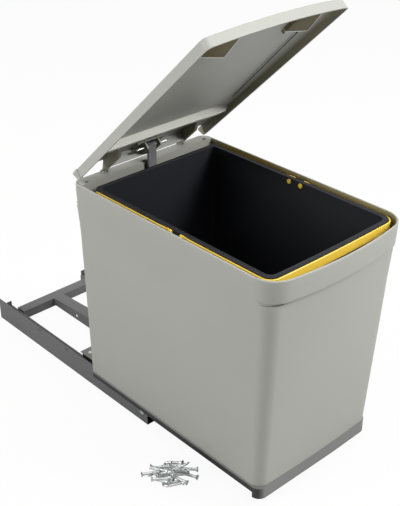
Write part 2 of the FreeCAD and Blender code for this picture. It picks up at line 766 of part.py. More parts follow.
screw = make_screw()
tilt = math.degrees(math.atan2(screw_head_r - screw_r, screw_shank))
loose = []
for i in range(screw_rows * screw_columns):
    row = i // screw_columns - (screw_rows - 1) / 2
    column = i % screw_columns - (screw_columns - 1) / 2
    laid = screw.copy()
    laid.rotate(V(0, 0, 0), V(0, 1, 0), 90 + tilt)
    laid.translate(V(-screw_length / 2, 0, screw_head_r * math.cos(math.radians(tilt))))
    laid.rotate(V(0, 0, 0), V(0, 0, 1), 180 * (row % 2) + 6 * math.sin(i * 2.4))
    laid.translate(V(column * (screw_length + 3), row * (2 * screw_head_r + 1.5), 0))
    laid.rotate(V(0, 0, 0), V(0, 0, 1), screw_pile_turn)
    laid.translate(V(screw_pile_x, screw_pile_y, 0))
    loose.append(laid)
save("fixing_screws", Part.Compound(loose))
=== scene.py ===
import bpy, bmesh, json, math, random
from mathutils import Matrix, Vector


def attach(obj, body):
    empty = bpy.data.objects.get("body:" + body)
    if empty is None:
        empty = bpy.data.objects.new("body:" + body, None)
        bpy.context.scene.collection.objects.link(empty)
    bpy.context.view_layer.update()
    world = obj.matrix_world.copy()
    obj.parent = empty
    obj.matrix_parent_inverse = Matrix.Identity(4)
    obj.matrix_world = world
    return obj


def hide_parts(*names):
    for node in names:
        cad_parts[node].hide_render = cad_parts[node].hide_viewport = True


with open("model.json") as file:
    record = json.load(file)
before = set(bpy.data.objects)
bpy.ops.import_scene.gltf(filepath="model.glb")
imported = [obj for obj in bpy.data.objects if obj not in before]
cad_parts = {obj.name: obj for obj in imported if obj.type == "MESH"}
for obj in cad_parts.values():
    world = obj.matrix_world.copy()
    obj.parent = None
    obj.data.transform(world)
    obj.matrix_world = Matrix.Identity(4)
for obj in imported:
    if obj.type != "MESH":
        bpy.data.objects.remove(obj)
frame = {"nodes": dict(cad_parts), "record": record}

print("frame loaded")
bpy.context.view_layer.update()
nodes = frame["nodes"]
scene = bpy.context.scene
mm = 0.001

# Camera in the part's own frame: metres, degrees, and pixels of a picture 400 wide
cameraSetup = {
    "location": (-0.8568, -1.1662, 0.9940),
    "yaw": 42.225, "pitch": 29.434, "roll": -0.478,
    "focalPixels": 984.5, "pictureWidth": 400.0, "sensorWidth": 36.0, "clipEnd": 20.0,
}


def makeCamera(setup):
    yaw, pitch, roll = (math.radians(setup[k]) for k in ("yaw", "pitch", "roll"))
    forward = Vector((math.cos(pitch) * math.sin(yaw), math.cos(pitch) * math.cos(yaw), -math.sin(pitch)))
    level = Vector((math.cos(yaw), -math.sin(yaw), 0))
    upright = level.cross(forward)
    right = math.cos(roll) * level + math.sin(roll) * upright
    up = math.cos(roll) * upright - math.sin(roll) * level
    data = bpy.data.cameras.new("camera")
    data.sensor_fit = "HORIZONTAL"
    data.sensor_width = setup["sensorWidth"]
    data.lens = setup["focalPixels"] * setup["sensorWidth"] / setup["pictureWidth"]
    data.clip_end = setup["clipEnd"]
    camera = bpy.data.objects.new("camera", data)
    x, y, z = setup["location"]
    camera.matrix_world = Matrix((
        (right.x, up.x, -forward.x, x),
        (right.y, up.y, -forward.y, y),
        (right.z, up.z, -forward.z, z),
        (0, 0, 0, 1)))
    scene.collection.objects.link(camera)
    scene.camera = camera


makeCamera(cameraSetup)

# Light: a pale even surround and soft panels, white where the camera looks past the object
lightSetup = {
    "surround": 0.60, "behind": 0.99,
    "dimSide": (-0.66, -0.75, 0.0), "dimShare": 0.85, "dimFrom": 0.15, "dimTo": 0.90,
    "aim": (0.0, -0.25, 0.25),
    "panels": [
        {"name": "topPanel", "at": (-0.3, -0.6, 2.2), "size": 1.8, "watts": 22},
        {"name": "leftPanel", "at": (-2.1, 0.6, 1.2), "size": 1.2, "watts": 29},
        {"name": "frontPanel", "at": (1.2, -2.1, 1.9), "size": 1.0, "watts": 62},
    ],
}


def makeSurround(setup):
    world = bpy.data.worlds.new("surround")
    scene.world = world
    world.use_nodes = True
    n, link = world.node_tree.nodes, world.node_tree.links.new
    n.clear()
    out = n.new("ShaderNodeOutputWorld")
    white = n.new("ShaderNodeBackground")
    white.inputs["Strength"].default_value = setup["behind"]
    white.inputs["Color"].default_value = (1, 1, 1, 1)
    soft = n.new("ShaderNodeBackground")
    soft.inputs["Color"].default_value = (1, 1, 1, 1)
    # The surround is dimmer on one fixed side, so rounded corners turned that way go darker
    where = n.new("ShaderNodeTexCoord")
    along = n.new("ShaderNodeVectorMath")
    along.operation = "DOT_PRODUCT"
    along.inputs[1].default_value = setup["dimSide"]
    link(where.outputs["Generated"], along.inputs[0])
    level = n.new("ShaderNodeMapRange")
    level.inputs["From Min"].default_value = setup["dimFrom"]
    level.inputs["From Max"].default_value = setup["dimTo"]
    level.inputs["To Min"].default_value = setup["surround"]
    level.inputs["To Max"].default_value = setup["surround"] * (1 - setup["dimShare"])
    link(along.outputs["Value"], level.inputs["Value"])
    link(level.outputs["Result"], soft.inputs["Strength"])
    path = n.new("ShaderNodeLightPath")
    mix = n.new("ShaderNodeMixShader")
    link(path.outputs["Is Camera Ray"], mix.inputs[0])
    link(soft.outputs[0], mix.inputs[1])
    link(white.outputs[0], mix.inputs[2])
    link(mix.outputs[0], out.inputs["Surface"])


def makePanels(setup):
    aim = Vector(setup["aim"])
    for panel in setup["panels"]:
        data = bpy.data.lights.new(panel["name"], "AREA")
        data.size = panel["size"]
        data.energy = panel["watts"]
        lamp = bpy.data.objects.new(panel["name"], data)
        lamp.location = panel["at"]
        lamp.rotation_euler = (aim - Vector(panel["at"])).to_track_quat("-Z", "Y").to_euler()
        scene.collection.objects.link(lamp)


makeSurround(lightSetup)
makePanels(lightSetup)
scene.view_settings.view_transform = "Standard"

# Floor: pale, seen as almost white, with a faint soft shadow
floorSetup = {
    "size": 8.0, "cells": 8, "drop": 0.0006,
    "color": (0.55, 0.55, 0.55), "white": 1.02, "shadowShare": 0.08,
}


def makeFloorPaint(setup):
    material = bpy.data.materials.new("floorPaint")
    material.use_nodes = True
    n, link = material.node_tree.nodes, material.node_tree.links.new
    n.clear()
    out = n.new("ShaderNodeOutputMaterial")
    plain = n.new("ShaderNodeBsdfDiffuse")
    plain.inputs["Color"].default_value = (*setup["color"], 1)
    glow = n.new("ShaderNodeEmission")
    glow.inputs["Strength"].default_value = setup["white"]
    seen = n.new("ShaderNodeMixShader")
    seen.inputs[0].default_value = setup["shadowShare"]
    link(glow.outputs[0], seen.inputs[1])
    link(plain.outputs[0], seen.inputs[2])
    path = n.new("ShaderNodeLightPath")
    pick = n.new("ShaderNodeMixShader")
    link(path.outputs["Is Camera Ray"], pick.inputs[0])
    link(plain.outputs[0], pick.inputs[1])
    link(seen.outputs[0], pick.inputs[2])
    link(pick.outputs[0], out.inputs["Surface"])
    return material


def makeFloor(setup):
    cells = setup["cells"]
    step = setup["size"] / cells
    half = setup["size"] / 2
    points = [(x * step - half, y * step - half, 0) for y in range(cells + 1) for x in range(cells + 1)]
    row = cells + 1
    corners = [y * row + x for y in range(cells) for x in range(cells)]
    mesh = bpy.data.meshes.new("floor")
    mesh.from_pydata(points, [], [(c, c + 1, c + row + 1, c + row) for c in corners])
    mesh.materials.append(makeFloorPaint(setup))
    floor = bpy.data.objects.new("floor", mesh)
    floor.location = (0, 0, -setup["drop"])
    scene.collection.objects.link(floor)


makeFloor(floorSetup)
print("camera, lights and floor made")


def newGroup(name, inputs, outputs):
    group = bpy.data.node_groups.new(name, "ShaderNodeTree")
    for label, value in inputs:
        socket = group.interface.new_socket(name=label, in_out="INPUT", socket_type="NodeSocketFloat")
        socket.default_value = value
    for label in outputs:
        group.interface.new_socket(name=label, in_out="OUTPUT", socket_type="NodeSocketFloat")
    return group, group.nodes, group.links.new


def calc(n, link, kind, first, second=None, third=None, clamp=False):
    # One math node; each input is a socket or a number
    node = n.new("ShaderNodeMath")
    node.operation = kind
    node.use_clamp = clamp
    for i, value in enumerate((first, second, third)):
        if value is None:
            continue
        if isinstance(value, (int, float)):
            node.inputs[i].default_value = value
        else:
            link(value, node.inputs[i])
    return node.outputs[0]


grainSetup = {"fineDetail": 3, "slowDetail": 2, "slowScale": 9}


def grainGroup(setup):
    # Grain that all finishes share: height, a shift of roughness and a slow change of tone
    inputs = (("Scale", 400.0), ("Tone", 0.04), ("Rough Shift", 0.08))
    group, n, link = newGroup("grain", inputs, ("Height", "Roughness", "Shade"))
    inp = n.new("NodeGroupInput")
    out = n.new("NodeGroupOutput")
    where = n.new("ShaderNodeTexCoord")
    fine = n.new("ShaderNodeTexNoise")
    fine.inputs["Detail"].default_value = setup["fineDetail"]
    slow = n.new("ShaderNodeTexNoise")
    slow.inputs["Scale"].default_value = setup["slowScale"]
    slow.inputs["Detail"].default_value = setup["slowDetail"]
    link(where.outputs["Object"], fine.inputs["Vector"])
    link(where.outputs["Object"], slow.inputs["Vector"])
    link(inp.outputs["Scale"], fine.inputs["Scale"])
    link(fine.outputs["Fac"], out.inputs["Height"])
    centred = calc(n, link, "SUBTRACT", slow.outputs["Fac"], 0.5)
    link(calc(n, link, "MULTIPLY", centred, inp.outputs["Rough Shift"]), out.inputs["Roughness"])
    link(calc(n, link, "MULTIPLY", centred, inp.outputs["Tone"]), out.inputs["Shade"])
    return group


paintedShadeSetup = {"facingGain": -1.8, "facingStart": -0.35}


def innerWallGroup(setup):
    # Mask of painted shade: faces that look left, to the right of one limit and between two heights
    inputs = (("Left Limit", -0.111), ("Low Limit", 0.0), ("High Limit", 10.0))
    group, n, link = newGroup("innerWall", inputs, ("Mask",))
    inp = n.new("NodeGroupInput")
    out = n.new("NodeGroupOutput")
    where = n.new("ShaderNodeTexCoord")
    side = n.new("ShaderNodeSeparateXYZ")
    place = n.new("ShaderNodeSeparateXYZ")
    link(where.outputs["Normal"], side.inputs[0])
    link(where.outputs["Object"], place.inputs[0])
    facing = calc(n, link, "MULTIPLY_ADD", side.outputs["X"],
                  setup["facingGain"], setup["facingStart"], clamp=True)
    inside = calc(n, link, "GREATER_THAN", place.outputs["X"], inp.outputs["Left Limit"])
    above = calc(n, link, "GREATER_THAN", place.outputs["Z"], inp.outputs["Low Limit"])
    below = calc(n, link, "LESS_THAN", place.outputs["Z"], inp.outputs["High Limit"])
    between = calc(n, link, "MULTIPLY", above, below)
    both = calc(n, link, "MULTIPLY", inside, between)
    link(calc(n, link, "MULTIPLY", facing, both), out.inputs["Mask"])
    return group


grain = grainGroup(grainSetup)
innerWall = innerWallGroup(paintedShadeSetup)

# Finishes: colour is linear, grain in 1/m, bump and limits in metres. Where inner is given, faces
# that look left have that colour between the limits, as painted shade
finishBase = {"metal": 0.0, "specular": 0.5, "highLimit": 10.0}  # where a finish gives none of its own
finishes = {
    "frameGrey": {
        "color": (0.118, 0.118, 0.120), "rough": 0.42, "grain": 900, "bump": 0.00004, "tone": 0.25},
    # The carriage's low faces that look left are near-black: painted shade in the gap under the shell
    "carriageGrey": {
        "color": (0.175, 0.175, 0.172), "rough": 0.42, "grain": 900, "bump": 0.00004, "tone": 0.25,
        "inner": (0.014, 0.014, 0.014), "leftLimit": -1.0, "lowLimit": -1.0, "highLimit": 0.0425},
    # A lighter copy of the lid's grey: painted light on the cross rib's lit face and painted highlights
    # along the pad and ridge edges
    "paintedLightGrey": {
        "color": (0.640, 0.645, 0.580), "rough": 0.45, "grain": 1500, "bump": 0.000008, "tone": 0.06},
    # Olive inner colour: painted shade on the shell's inner wall that looks left above the bucket
    "shellGrey": {
        "color": (0.345, 0.348, 0.316), "rough": 0.50, "grain": 1500, "bump": 0.000012, "tone": 0.06,
        "inner": (0.20, 0.18, 0.095), "leftLimit": 0.100, "lowLimit": 0.300},
    # Olive inner colour: painted shade on the faces inside the lid that look left
    "lidGrey": {
        "color": (0.380, 0.383, 0.348), "rough": 0.48, "grain": 1500, "bump": 0.000008, "tone": 0.06,
        "inner": (0.235, 0.220, 0.145), "leftLimit": -0.111, "lowLimit": 0.0},
    # Dark olive-brown for the lid's corner pads: painted shade
    "padShadeBrown": {
        "color": (0.124, 0.106, 0.048), "rough": 0.60, "grain": 1800, "bump": 0.00005, "tone": 0.15,
        "specular": 0.2},
    "bucketBlack": {
        "color": (0.0158, 0.0166, 0.0208), "rough": 0.52, "grain": 1200, "bump": 0.00004, "tone": 0.3,
        "specular": 0.3},
    "handleYellow": {
        "color": (0.88, 0.60, 0.070), "rough": 0.34, "grain": 1200, "bump": 0.00002, "tone": 0.08},
    "rodGrey": {
        "color": (0.19, 0.19, 0.19), "rough": 0.40, "grain": 900, "bump": 0.00003, "tone": 0.2},
    "rollerBlack": {
        "color": (0.016, 0.016, 0.016), "rough": 0.5, "grain": 1200, "bump": 0.00003, "tone": 0.2},
    "zincSteel": {
        "color": (0.80, 0.83, 0.82), "rough": 0.30, "grain": 700, "bump": 0.00002, "tone": 0.3,
        "metal": 1.0},
}


def makeFinish(name, spec):
    spec = {**finishBase, **spec}
    color = (*spec["color"], 1)
    material = bpy.data.materials.new(name)
    material.use_nodes = True
    n, link = material.node_tree.nodes, material.node_tree.links.new
    surface = n["Principled BSDF"]
    surface.inputs["Metallic"].default_value = spec["metal"]
    surface.inputs["Specular IOR Level"].default_value = spec["specular"]
    effect = n.new("ShaderNodeGroup")
    effect.node_tree = grain
    effect.inputs["Scale"].default_value = spec["grain"]
    effect.inputs["Tone"].default_value = spec["tone"]
    tint = n.new("ShaderNodeMix")
    tint.data_type = "RGBA"
    tint.blend_type = "MULTIPLY"
    tint.inputs["Factor"].default_value = 1.0
    tint.inputs["A"].default_value = color
    # Painted shade: faces that look left, inside the limits, take the darker inner colour
    if "inner" in spec:
        wall = n.new("ShaderNodeGroup")
        wall.node_tree = innerWall
        wall.inputs["Left Limit"].default_value = spec["leftLimit"]
        wall.inputs["Low Limit"].default_value = spec["lowLimit"]
        wall.inputs["High Limit"].default_value = spec["highLimit"]
        two = n.new("ShaderNodeMix")
        two.data_type = "RGBA"
        two.inputs["A"].default_value = color
        two.inputs["B"].default_value = (*spec["inner"], 1)
        link(wall.outputs["Mask"], two.inputs["Factor"])
        link(two.outputs["Result"], tint.inputs["A"])
    link(calc(n, link, "ADD", effect.outputs["Shade"], 1.0), tint.inputs["B"])
    link(tint.outputs["Result"], surface.inputs["Base Color"])
    link(calc(n, link, "ADD", effect.outputs["Roughness"], spec["rough"]), surface.inputs["Roughness"])
    bump = n.new("ShaderNodeBump")
    bump.inputs["Distance"].default_value = spec["bump"]
    link(effect.outputs["Height"], bump.inputs["Height"])
    link(bump.outputs["Normal"], surface.inputs["Normal"])
    return material


materials = {name: makeFinish(name, spec) for name, spec in finishes.items()}

# Each solid takes the finish of its slot, apart from the nodes in nodeFinish
slotFinish = {
    "frame_grey": "frameGrey", "carriage_grey": "carriageGrey", "shell_grey": "shellGrey",
    "lid_grey": "lidGrey", "bucket_black": "bucketBlack", "handle_yellow": "handleYellow",
    "roller_black": "rollerBlack", "zinc": "zincSteel",
}
nodeFinish = {"lift_rod": "rodGrey", "hinge_pins": "rollerBlack", "ledge_screws": "frameGrey"}


def paintNodes():
    for part in frame["record"]["subparts"]:
        finish = nodeFinish.get(part["node"], slotFinish[part["material_slot"]])
        coats = nodes[part["node"]].data.materials
        coats.clear()
        coats.append(materials[finish])


paintNodes()
print("materials made")

# Softened edges on the carried-over solids: lengths in mm, angles in degrees
edgeSetup = {
    "weldGap": 0.002, "flatAngle": 1.0, "bevelAngle": 35.0, "bevelSteps": 2,
    "widths": {
        "left_runner": 0.5, "right_runner": 0.5, "rear_cross_bar": 0.6, "front_cross_bar": 0.6,
        "centre_ramp": 0.5, "left_carriage_rail": 0.4, "right_carriage_rail": 0.4,
        "carriage_tray": 0.7, "carriage_rear_plate": 0.3, "rear_ledge": 0.5, "lid": 0.6,
        "lifter_bracket": 0.25, "lift_rod": 0.5, "rod_guides": 0.4, "left_front_roller": 0.4,
        "right_front_roller": 0.4, "left_rear_roller": 0.4, "right_rear_roller": 0.4,
        "foot_wheel": 0.3,
    },
}


def softenEdges(setup):
    for name, width in setup["widths"].items():
        modifiers = nodes[name].modifiers
        weld = modifiers.new("weld", "WELD")
        weld.merge_threshold = setup["weldGap"] * mm
        flat = modifiers.new("flat", "DECIMATE")
        flat.decimate_type = "DISSOLVE"
        flat.angle_limit = math.radians(setup["flatAngle"])
        bevel = modifiers.new("softEdge", "BEVEL")
        bevel.width = width * mm
        bevel.segments = setup["bevelSteps"]
        bevel.limit_method = "ANGLE"
        bevel.angle_limit = math.radians(setup["bevelAngle"])
        bevel.miter_outer = "MITER_ARC"
        even = modifiers.new("even", "WEIGHTED_NORMAL")
        even.keep_sharp = False


softenEdges(edgeSetup)
print("edges softened")


def addPiece(name, mesh, finish, body, sharp=38):
    # Turns a bmesh into a smooth piece that rides on a body; edges over the sharp angle stay crisp
    bmesh.ops.recalc_face_normals(mesh, faces=mesh.faces)
    for face in mesh.faces:
        face.smooth = True
    for edge in mesh.edges:
        if len(edge.link_faces) == 2 and edge.calc_face_angle(0) > math.radians(sharp):
            edge.smooth = False
    data = bpy.data.meshes.new(name)
    mesh.to_mesh(data)
    mesh.free()
    data.materials.append(materials[finish])
    piece = bpy.data.objects.new(name, data)
    scene.collection.objects.link(piece)
    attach(piece, body)
    return piece


def bridge(mesh, loops):
    # Side faces from each loop of vertices to the next
    for a, b in zip(loops, loops[1:]):
        for i in range(len(a)):
            j = (i + 1) % len(a)
            mesh.faces.new((a[i], a[j], b[j], b[i]))


def addSolid(mesh, rings):
    # Solid through a row of rings, closed at both ends
    loops = [[mesh.verts.new(p) for p in ring] for ring in rings]
    bridge(mesh, loops)
    mesh.faces.new(loops[0][::-1])
    mesh.faces.new(loops[-1])


def meshOf(*solids):
    mesh = bmesh.new()
    for rings in solids:
        addSolid(mesh, rings)
    return mesh


def levels(low, high, steps, first=0):
    # Even steps from low to high
    return [low + (high - low) * i / steps for i in range(first, steps + 1)]


def ramp(value, start, end):
    # 0 up to the start, 1 from the end on, and even between them
    return min(max((value - start) / (end - start), 0.0), 1.0)


def ease(value, start, end):
    # A ramp with a soft start and a soft end
    t = ramp(value, start, end)
    return t * t * (3 - 2 * t)


def outline(half, front, back, arc, frontR, backR, z, corner=8, bow=12, side=6):
    # Ring round a box with a bowed front, seen from above: sizes in mm, points in metres
    middle = front + arc
    cornerY = middle - math.sqrt((arc - frontR) ** 2 - (half - frontR) ** 2)
    touch = arc / (arc - frontR)
    touchX = (half - frontR) * touch
    touchY = middle + (cornerY - middle) * touch
    points = []
    for i in range(bow):
        x = touchX * i / bow
        points.append((x, middle - math.sqrt(arc * arc - x * x)))
    start = math.atan2(touchY - cornerY, touchX - half + frontR)
    for i in range(corner + 1):
        a = start * (1 - i / corner)
        points.append((half - frontR + frontR * math.cos(a), cornerY + frontR * math.sin(a)))
    for i in range(1, side):
        points.append((half, cornerY + (back - backR - cornerY) * i / side))
    for i in range(corner + 1):
        a = math.pi / 2 * i / corner
        points.append((half - backR + backR * math.cos(a), back - backR + backR * math.sin(a)))
    for i in range(1, side + 1):
        points.append(((half - backR) * (1 - i / side), back))
    ring = points + [(-x, y) for x, y in points[-2:0:-1]]
    return [Vector((x * mm, y * mm, z * mm)) for x, y in ring]


# Shell: flush sides, a collar that steps out in front and behind, a rounded rim
shellSetup = {
    "floor": {"half": 116.4, "front": -468.2, "back": -85.5, "arc": 3000, "frontR": 18, "backR": 8},
    "neck": {"half": 124.2, "front": -494.5, "back": -91.0, "arc": 720, "frontR": 22, "backR": 8},
    "collar": {"half": 128.0, "front": -501.5, "back": -89.0, "arc": 600, "frontR": 34.5, "backR": 13.5},
    "rim": {"half": 129.3, "front": -503.0, "back": -90.5, "arc": 600, "frontR": 36, "backR": 15},
    "floorZ": 46.0, "flareZ": 300.0, "neckZ": 355.8, "rimZ": 388.8,
    "wall": 2.5, "rimWall": 3.2, "rounding": 1.3,
    "wallSteps": 12, "collarSteps": 5, "insideSteps": 6,
    "groove": 2.2, "grooveHeight": 4.6, "grooveEdge": 0.1,
    "collarStep": ((0.06, 0.0), (0.90, 0.0), (0.98, 0.4), (1.0, 1.0)),  # share of collar, rise
    "insideDrops": (8.0, 16.0, 24.0), "insideRelief": 0.02, "insideStep": 2.5,
    "shoulderRise": 1.7, "shoulderThin": 0.3, "shoulderDrop": 3.5,
    "filletRise": 4.0, "floorCurve": ((1.2, 1.2), (0.0, 4.0)),  # rise over the floor, inset
}


def mixPlan(a, b, share):
    # The bow mixes by its reciprocal, so that a straight front bends evenly into a bowed one
    plan = {k: a[k] + (b[k] - a[k]) * share for k in a if k != "arc"}
    plan["arc"] = 1 / (1 / a["arc"] + (1 / b["arc"] - 1 / a["arc"]) * share)
    return plan


def planRing(plan, z, inset=0.0, half=None, leastR=2.0):
    h = (plan["half"] if half is None else half) - inset
    return outline(h, plan["front"] + inset, plan["back"] - inset, plan["arc"] - inset,
                   max(plan["frontR"] - inset, leastR), max(plan["backR"] - inset, leastR), z)


def wallPlan(s, z):
    return mixPlan(s["floor"], s["neck"], (z - s["floorZ"]) / (s["neckZ"] - s["floorZ"]))


def collarPlan(s, z):
    return mixPlan(s["collar"], s["rim"], (z - s["neckZ"]) / (s["rimZ"] - s["neckZ"]))


def wallHalf(s, z):
    # The side leaves its taper near the top and meets the rim without a step
    reach = s["rim"]["half"] - wallPlan(s, s["rimZ"])["half"]
    return wallPlan(s, z)["half"] + reach * ease(z, s["flareZ"], s["rimZ"])


def shellOutside(s):
    r = s["rounding"]
    neck = s["neckZ"]
    rings = []
    for degrees in (0, 30, 60, 90):
        a = math.radians(degrees)
        z = s["floorZ"] + r * (1 - math.cos(a))
        rings.append(planRing(wallPlan(s, s["floorZ"]), z, r * (1 - math.sin(a))))
    for z in levels(s["floorZ"], neck - s["grooveHeight"] - s["grooveEdge"], s["wallSteps"], 1):
        rings.append(planRing(wallPlan(s, z), z, half=wallHalf(s, z)))
    # A shadow groove under the collar, in front and behind only
    for z in (neck - s["grooveHeight"], neck - s["grooveEdge"]):
        plan = wallPlan(s, z)
        plan["front"] += s["groove"]
        plan["back"] -= s["groove"]
        rings.append(planRing(plan, z, half=wallHalf(s, z)))
    for share, rise in s["collarStep"]:
        z = neck + rise
        plan = mixPlan(wallPlan(s, neck), collarPlan(s, z), share)
        rings.append(planRing(plan, z, half=wallHalf(s, z)))
    for z in levels(neck + s["collarStep"][-1][1], s["rimZ"] - r, s["collarSteps"], 1):
        rings.append(planRing(collarPlan(s, z), z, half=wallHalf(s, z)))
    return rings


def shellRim(s):
    r = s["rounding"]
    rings = []
    for degrees in (30, 60, 90):
        a = math.radians(degrees)
        rings.append(planRing(s["rim"], s["rimZ"] - r * (1 - math.sin(a)), r * (1 - math.cos(a))))
    for degrees in (90, 60, 30, 0):
        a = math.radians(degrees)
        inset = s["rimWall"] - r * (1 - math.cos(a))
        rings.append(planRing(s["rim"], s["rimZ"] - r * (1 - math.sin(a)), inset))
    return rings


def shellInside(s):
    neck = s["neckZ"]
    rings = []
    for drop in (*s["insideDrops"], s["rimZ"] - neck - s["insideStep"]):
        rings.append(planRing(s["rim"], s["rimZ"] - drop, s["rimWall"] + s["insideRelief"]))
    neckPlan = wallPlan(s, neck)
    rings.append(planRing(neckPlan, neck + s["shoulderRise"], s["wall"] - s["shoulderThin"]))
    rings.append(planRing(neckPlan, neck, s["wall"]))
    bottom = s["floorZ"] + s["wall"]
    for z in levels(bottom + s["filletRise"], neck - s["shoulderDrop"], s["insideSteps"])[-2::-1]:
        rings.append(planRing(wallPlan(s, z), z, s["wall"]))
    for rise, inset in s["floorCurve"]:
        rings.append(planRing(wallPlan(s, s["floorZ"]), bottom + rise, s["wall"] + inset))
    return rings


def makeShell(s):
    rings = shellOutside(s) + shellRim(s) + shellInside(s)
    piece = addPiece("shellBody", meshOf(rings), "shellGrey", "carriage")
    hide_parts("outer_shell")


makeShell(shellSetup)

# Bucket: tapered tub with a turned-out rim that has a raised inner bead
bucketSetup = {
    "plan": {"half": 117.3, "front": -478.5, "back": -126.5, "arc": 3000, "frontR": 13.5, "backR": 10.0},
    "frontShare": 0.45, "backShare": 0.35, "leastR": 3.0,  # how fast the corners tighten inwards
    "rimZ": 387.0, "bandZ": 375.2, "floorZ": 51.0,
    "overhang": 5.0, "taper": 10.0, "wall": 2.0, "sheet": 2.5,
    "insideFrom": 6.0, "insideTo": 1.6, "outsideFrom": 3.0, "outsideTo": 7.0, "wallSteps": 8,
    # Pairs of an inset, and a rise over the floor or the band or a drop under the rim
    "insideFloor": ((6.0, 0.0), (1.8, 0.6), (0.3, 2.4)),
    "bead": ((0.0, 0.5), (-0.3, 0.15), (-0.9, 0.0), (-1.5, 0.15), (-2.0, 0.55), (-2.6, 0.8)),
    "rim": ((1.6, 0.5), (0.7, 0.12), (0.2, 0.3), (0.0, 0.9)),
    "band": ((0.0, 0.6), (0.6, 0.0), (1.4, 0.0), (2.0, 0.6)),
    "outsideFloor": ((1.2, 0.8), (3.5, 0.0)),
}


def bucketRing(s, inset, z):
    p = s["plan"]
    frontR = max(p["frontR"] - inset * s["frontShare"], s["leastR"])
    backR = max(p["backR"] - inset * s["backShare"], s["leastR"])
    return outline(p["half"] - inset, p["front"] + inset, p["back"] - inset, p["arc"] - inset,
                   frontR, backR, z, bow=8, side=8)


def makeBucket(s):
    inner = s["overhang"] + s["wall"]
    low = s["floorZ"] + s["wall"]
    under = s["rimZ"] - s["sheet"]

    def tub(z):
        return s["taper"] * (s["rimZ"] - z) / (s["rimZ"] - s["floorZ"])

    inside = levels(low + s["insideFrom"], s["rimZ"] - s["insideTo"], s["wallSteps"])
    outside = levels(s["floorZ"] + s["outsideFrom"], under - s["outsideTo"], s["wallSteps"])[-2::-1]
    rings = [bucketRing(s, inner + s["taper"] + inset, low + rise) for inset, rise in s["insideFloor"]]
    rings += [bucketRing(s, inner + tub(z), z) for z in inside]
    rings += [bucketRing(s, inner + inset, s["rimZ"] - drop) for inset, drop in s["bead"]]
    rings += [bucketRing(s, inset, s["rimZ"] - drop) for inset, drop in s["rim"]]
    rings += [bucketRing(s, inset, s["bandZ"] + rise) for inset, rise in s["band"]]
    rings.append(bucketRing(s, s["band"][-1][0], under))
    rings += [bucketRing(s, s["overhang"] + tub(z), z) for z in [under] + outside]
    for inset, rise in s["outsideFloor"]:
        rings.append(bucketRing(s, s["overhang"] + s["taper"] + inset, s["floorZ"] + rise))
    piece = addPiece("bucketTub", meshOf(rings), "bucketBlack", "carriage")
    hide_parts("bucket")


makeBucket(bucketSetup)

# Handles: flat straps swept round the rim, with an eye at each end
handleSetup = {
    "gap": 0.4, "thick": 2.0, "round": 0.5, "pivotZ": 381.8,
    "eye": 4.6, "hole": 2.08, "eyeTurns": 28, "eyeClear": 3.2,
    "strapDrop": 0.6, "strapHalf": 4.0, "blend": 9.0,
    "front": {"pivot": -317.0, "towards": -1, "body": "front_handle", "node": "front_handle",
              "dropFrom": -450.0, "dropTo": -476.0, "gripZ": 378.8, "gripHalf": 6.6},
    "rear": {"pivot": -295.0, "towards": 1, "body": "rear_handle", "node": "rear_handle",
             "dropFrom": -137.0, "dropTo": -129.0, "gripZ": 370.0, "gripHalf": 7.0},
}


def strapPath(s, spec):
    # Points in mm along the inner side of the strap, from the left eye round to the right one
    p, g, towards = bucketSetup["plan"], s["gap"], spec["towards"]
    half = p["half"] + g
    ring = outline(half, p["front"] - g, p["back"] + g, p["arc"] + g,
                   p["frontR"] + g, p["backR"] + g, 0, corner=10, bow=8, side=24)
    start = spec["pivot"] + towards * s["eyeClear"]
    path = [(v.x / mm, v.y / mm) for v in ring]
    path = [q for q in path if (q[1] - start) * towards > 0]
    path.sort(key=lambda q: math.atan2(q[0], towards * (q[1] - spec["pivot"])))
    return [(-half, start)] + path + [(half, start)]


def addStrap(mesh, s, spec):
    path = strapPath(s, spec)
    plan = bucketSetup["plan"]
    middle = (plan["front"] + plan["back"]) / 2
    thick, soft = s["thick"], s["round"]
    loops = []
    for i, (x, y) in enumerate(path):
        ax, ay = path[max(i - 1, 0)]
        bx, by = path[min(i + 1, len(path) - 1)]
        size = math.hypot(bx - ax, by - ay)
        nx, ny = (by - ay) / size, (ax - bx) / size
        if nx * x + ny * (y - middle) < 0:
            nx, ny = -nx, -ny
        # The strap is a little lower than the eye it starts from, and its far end is a deeper grip
        t = ramp(abs(y - spec["pivot"]), s["eyeClear"], s["eyeClear"] + s["blend"])
        z = s["pivotZ"] - s["strapDrop"] * t
        h = s["eye"] + (s["strapHalf"] - s["eye"]) * t
        t = ease(y, spec["dropFrom"], spec["dropTo"])
        z += (spec["gripZ"] - z) * t
        h += (spec["gripHalf"] - h) * t
        section = ((0, h - soft), (soft, h), (thick - soft, h), (thick, h - soft),
                   (thick, soft - h), (thick - soft, -h), (soft, -h), (0, soft - h))
        points = [((x + nx * u) * mm, (y + ny * u) * mm, (z + v) * mm) for u, v in section]
        loops.append([mesh.verts.new(p) for p in points])
    bridge(mesh, loops)
    mesh.faces.new(loops[0])
    mesh.faces.new(loops[-1][::-1])


def addEye(mesh, s, spec, side):
    # The profile of the flat ring, turned about the pin
    soft = s["round"]
    x0 = side * (bucketSetup["plan"]["half"] + s["gap"])
    x1 = x0 + side * s["thick"]
    profile = ((x0, s["hole"]), (x0, s["eye"] - soft), (x0 + side * soft, s["eye"]),
               (x1 - side * soft, s["eye"]), (x1, s["eye"] - soft), (x1, s["hole"]))
    loops = []
    for k in range(s["eyeTurns"]):
        y, z = math.cos(k * math.tau / s["eyeTurns"]), math.sin(k * math.tau / s["eyeTurns"])
        points = [(x * mm, (spec["pivot"] + r * y) * mm, (s["pivotZ"] + r * z) * mm) for x, r in profile]
        loops.append([mesh.verts.new(p) for p in points])
    bridge(mesh, loops + loops[:1])


